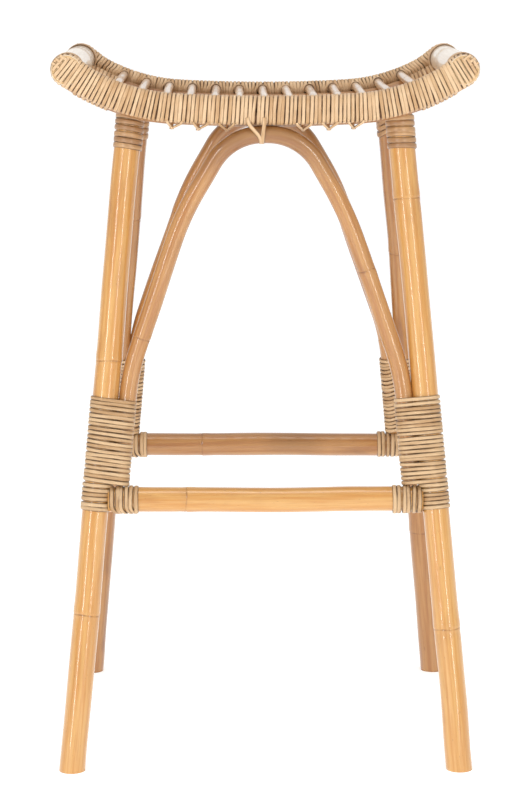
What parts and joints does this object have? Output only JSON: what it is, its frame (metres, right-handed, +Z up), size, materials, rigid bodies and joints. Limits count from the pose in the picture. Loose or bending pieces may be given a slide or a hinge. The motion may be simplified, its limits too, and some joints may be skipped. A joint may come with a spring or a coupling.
{
  "type": "bar stool with footrest",
  "caption": "Backless rattan bar stool with a saddle-shaped seat of rods, peel-wound rails, bent pole arches, splayed legs and a footrest of round stretchers.",
  "frame": {"origin": "on the floor, under the centre of the seat", "axes": "+Z up, the front faces -Y, the long way of the seat is along X"},
  "size_m": [0.4508, 0.4244, 0.76],
  "materials": {
    "leg_pole": "lacquered honey-coloured rattan pole",
    "arch_pole": "lacquered honey-coloured rattan pole",
    "stretcher_pole": "lacquered rattan pole, a little worn",
    "seat_rod": "lacquered pale rattan rod",
    "end_roll": "lacquered pale rattan pole",
    "rail_pole": "rattan pole under the winding",
    "seat_peel": "rattan peel, satin, brown wash in the grooves",
    "joint_peel": "rattan peel, satin, brown wash in the grooves",
    "steel": "plain wire nails and screws"
  },
  "bodies": {
    "root": {"arch_nails": "steel", "back_arch": "arch_pole", "back_lacing": "seat_peel", "back_left_arch_winding": "joint_peel", "back_left_joint_winding": "joint_peel", "back_left_leg": "leg_pole", "back_left_leg_top_winding": "joint_peel", "back_lower_seat_rail": "rail_pole", "back_rail_winding": "seat_peel", "back_right_arch_winding": "joint_peel", "back_right_joint_winding": "joint_peel", "back_right_leg": "leg_pole", "back_right_leg_top_winding": "joint_peel", "back_seat_bearer": "rail_pole", "back_stretcher": "stretcher_pole", "back_stretcher_windings": "joint_peel", "back_upper_seat_rail": "rail_pole", "end_roll_nails": "steel", "front_arch": "arch_pole", "front_lacing": "seat_peel", "front_left_arch_winding": "joint_peel", "front_left_joint_winding": "joint_peel", "front_left_leg": "leg_pole", "front_left_leg_top_winding": "joint_peel", "front_lower_seat_rail": "rail_pole", "front_rail_winding": "seat_peel", "front_right_arch_winding": "joint_peel", "front_right_joint_winding": "joint_peel", "front_right_leg": "leg_pole", "front_right_leg_top_winding": "joint_peel", "front_seat_bearer": "rail_pole", "front_stretcher": "stretcher_pole", "front_stretcher_windings": "joint_peel", "front_upper_seat_rail": "rail_pole", "left_end_roll": "end_roll", "left_roll_windings": "seat_peel", "left_stretcher": "stretcher_pole", "left_stretcher_windings": "joint_peel", "leg_top_screws": "steel", "right_end_roll": "end_roll", "right_roll_windings": "seat_peel", "right_stretcher": "stretcher_pole", "right_stretcher_windings": "joint_peel", "rod_end_rings": "seat_peel", "seat_rod_01": "seat_rod", "seat_rod_02": "seat_rod", "seat_rod_03": "seat_rod", "seat_rod_04": "seat_rod", "seat_rod_05": "seat_rod", "seat_rod_06": "seat_rod", "seat_rod_07": "seat_rod", "seat_rod_08": "seat_rod", "seat_rod_09": "seat_rod", "seat_rod_10": "seat_rod", "seat_rod_11": "seat_rod", "seat_rod_12": "seat_rod", "seat_rod_13": "seat_rod", "stretcher_nails": "steel"}
  },
  "joints": []
}
